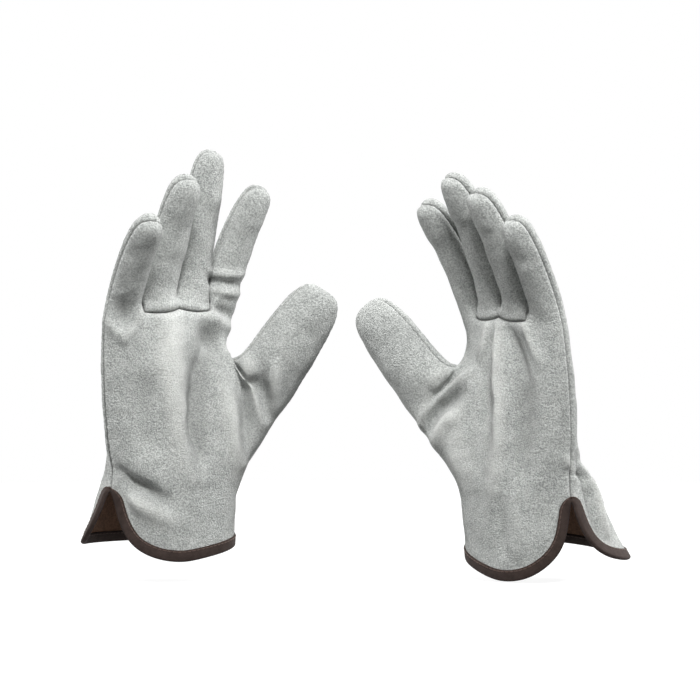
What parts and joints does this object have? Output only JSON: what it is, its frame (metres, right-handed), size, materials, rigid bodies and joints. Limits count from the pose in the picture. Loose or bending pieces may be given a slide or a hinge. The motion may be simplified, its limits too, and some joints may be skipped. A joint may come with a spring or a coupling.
{
  "type": "welding gloves",
  "caption": "Pair of split-leather work gloves with straight fingers, wing thumbs, an elastic wrist and a slit cuff edged with brown tape.",
  "frame": {"origin": "middle of the right glove's cuff mouth", "axes": "+Z from the cuff mouth to the fingertips, +X from the right glove to the left glove, -Y out of the palms"},
  "size_m": [0.3301, 0.113, 0.2558],
  "materials": {
    "leather": "nappy split suede",
    "binding": "woven tape",
    "thread": "twisted thread",
    "brown_thread": "twisted thread",
    "elastic": "woven elastic"
  },
  "bodies": {
    "right_hand": {"right_back": "leather", "right_binding_thread": "brown_thread", "right_cuff_binding": "binding", "right_elastic_thread": "thread", "right_insert_thread": "thread", "right_palm": "leather", "right_radial_thread": "thread", "right_ulnar_thread": "thread", "right_web_thread": "thread", "right_wrist_elastic": "elastic"},
    "right_little": {"right_little_back": "leather", "right_little_front": "leather", "right_little_thread": "thread"},
    "right_ring": {"right_ring_back": "leather", "right_ring_front": "leather", "right_ring_thread": "thread"},
    "right_middle": {"right_middle_back": "leather", "right_middle_front": "leather", "right_middle_thread": "thread"},
    "right_index": {"right_index_back": "leather", "right_index_front": "leather", "right_index_thread": "thread"},
    "right_thumb": {"right_thumb_back": "leather", "right_thumb_front": "leather", "right_thumb_thread": "thread"},
    "left_hand": {"left_back": "leather", "left_binding_thread": "brown_thread", "left_cuff_binding": "binding", "left_elastic_thread": "thread", "left_insert_thread": "thread", "left_palm": "leather", "left_radial_thread": "thread", "left_ulnar_thread": "thread", "left_web_thread": "thread", "left_wrist_elastic": "elastic"},
    "left_little": {"left_little_back": "leather", "left_little_front": "leather", "left_little_thread": "thread"},
    "left_ring": {"left_ring_back": "leather", "left_ring_front": "leather", "left_ring_thread": "thread"},
    "left_middle": {"left_middle_back": "leather", "left_middle_front": "leather", "left_middle_thread": "thread"},
    "left_index": {"left_index_back": "leather", "left_index_front": "leather", "left_index_thread": "thread"},
    "left_thumb": {"left_thumb_back": "leather", "left_thumb_front": "leather", "left_thumb_thread": "thread"}
  },
  "joints": [
    {"name": "left_glove_slide", "type": "slide", "parent": "right_hand", "child": "left_hand", "axis": [0, 1, 0], "range_m": [0, 0.2]},
    {"name": "right_little_flex", "type": "hinge", "parent": "right_hand", "child": "right_little", "pos_m": [-0.02769, -0.03397, 0.14096], "axis": [0.8828, 0.4694, -0.0175], "range_deg": [0, 55], "stiffness_Nm_per_rad": 0.3},
    {"name": "right_ring_flex", "type": "hinge", "parent": "right_hand", "child": "right_ring", "pos_m": [-0.00477, -0.02183, 0.14675], "axis": [0.8814, 0.4687, -0.0593], "range_deg": [0, 55], "stiffness_Nm_per_rad": 0.3},
    {"name": "right_middle_flex", "type": "hinge", "parent": "right_hand", "child": "right_middle", "pos_m": [0.01415, -0.0081, 0.14773], "axis": [0.881, 0.4684, -0.0663], "range_deg": [0, 55], "stiffness_Nm_per_rad": 0.3},
    {"name": "right_index_flex", "type": "hinge", "parent": "right_hand", "child": "right_index", "pos_m": [0.03178, 0.00723, 0.14331], "axis": [0.8781, 0.4669, -0.1045], "range_deg": [0, 55], "stiffness_Nm_per_rad": 0.3},
    {"name": "right_thumb_flex", "type": "hinge", "parent": "right_hand", "child": "right_thumb", "pos_m": [0.05305, 0.00257, 0.10707], "axis": [0.4936, -0.0177, -0.8695], "range_deg": [0, 35], "stiffness_Nm_per_rad": 0.6},
    {"name": "left_little_flex", "type": "hinge", "parent": "left_hand", "child": "left_little", "pos_m": [0.21696, -0.0489, 0.13586], "axis": [0.7044, -0.7072, -0.0608], "range_deg": [0, 55], "stiffness_Nm_per_rad": 0.3},
    {"name": "left_ring_flex", "type": "hinge", "parent": "left_hand", "child": "left_ring", "pos_m": [0.1986, -0.03078, 0.14123], "axis": [0.7045, -0.7063, -0.0695], "range_deg": [0, 55], "stiffness_Nm_per_rad": 0.3},
    {"name": "left_middle_flex", "type": "hinge", "parent": "left_hand", "child": "left_middle", "pos_m": [0.18493, -0.01184, 0.14216], "axis": [0.7046, -0.7053, -0.0782], "range_deg": [0, 55], "stiffness_Nm_per_rad": 0.3},
    {"name": "left_index_flex", "type": "hinge", "parent": "left_hand", "child": "left_index", "pos_m": [0.17284, 0.00835, 0.13834], "axis": [0.7021, -0.712, 0], "range_deg": [0, 55], "stiffness_Nm_per_rad": 0.3},
    {"name": "left_thumb_flex", "type": "hinge", "parent": "left_hand", "child": "left_thumb", "pos_m": [0.15284, 0.01272, 0.10143], "axis": [0.4188, -0.1772, 0.8906], "range_deg": [0, 35], "stiffness_Nm_per_rad": 0.6}
  ]
}
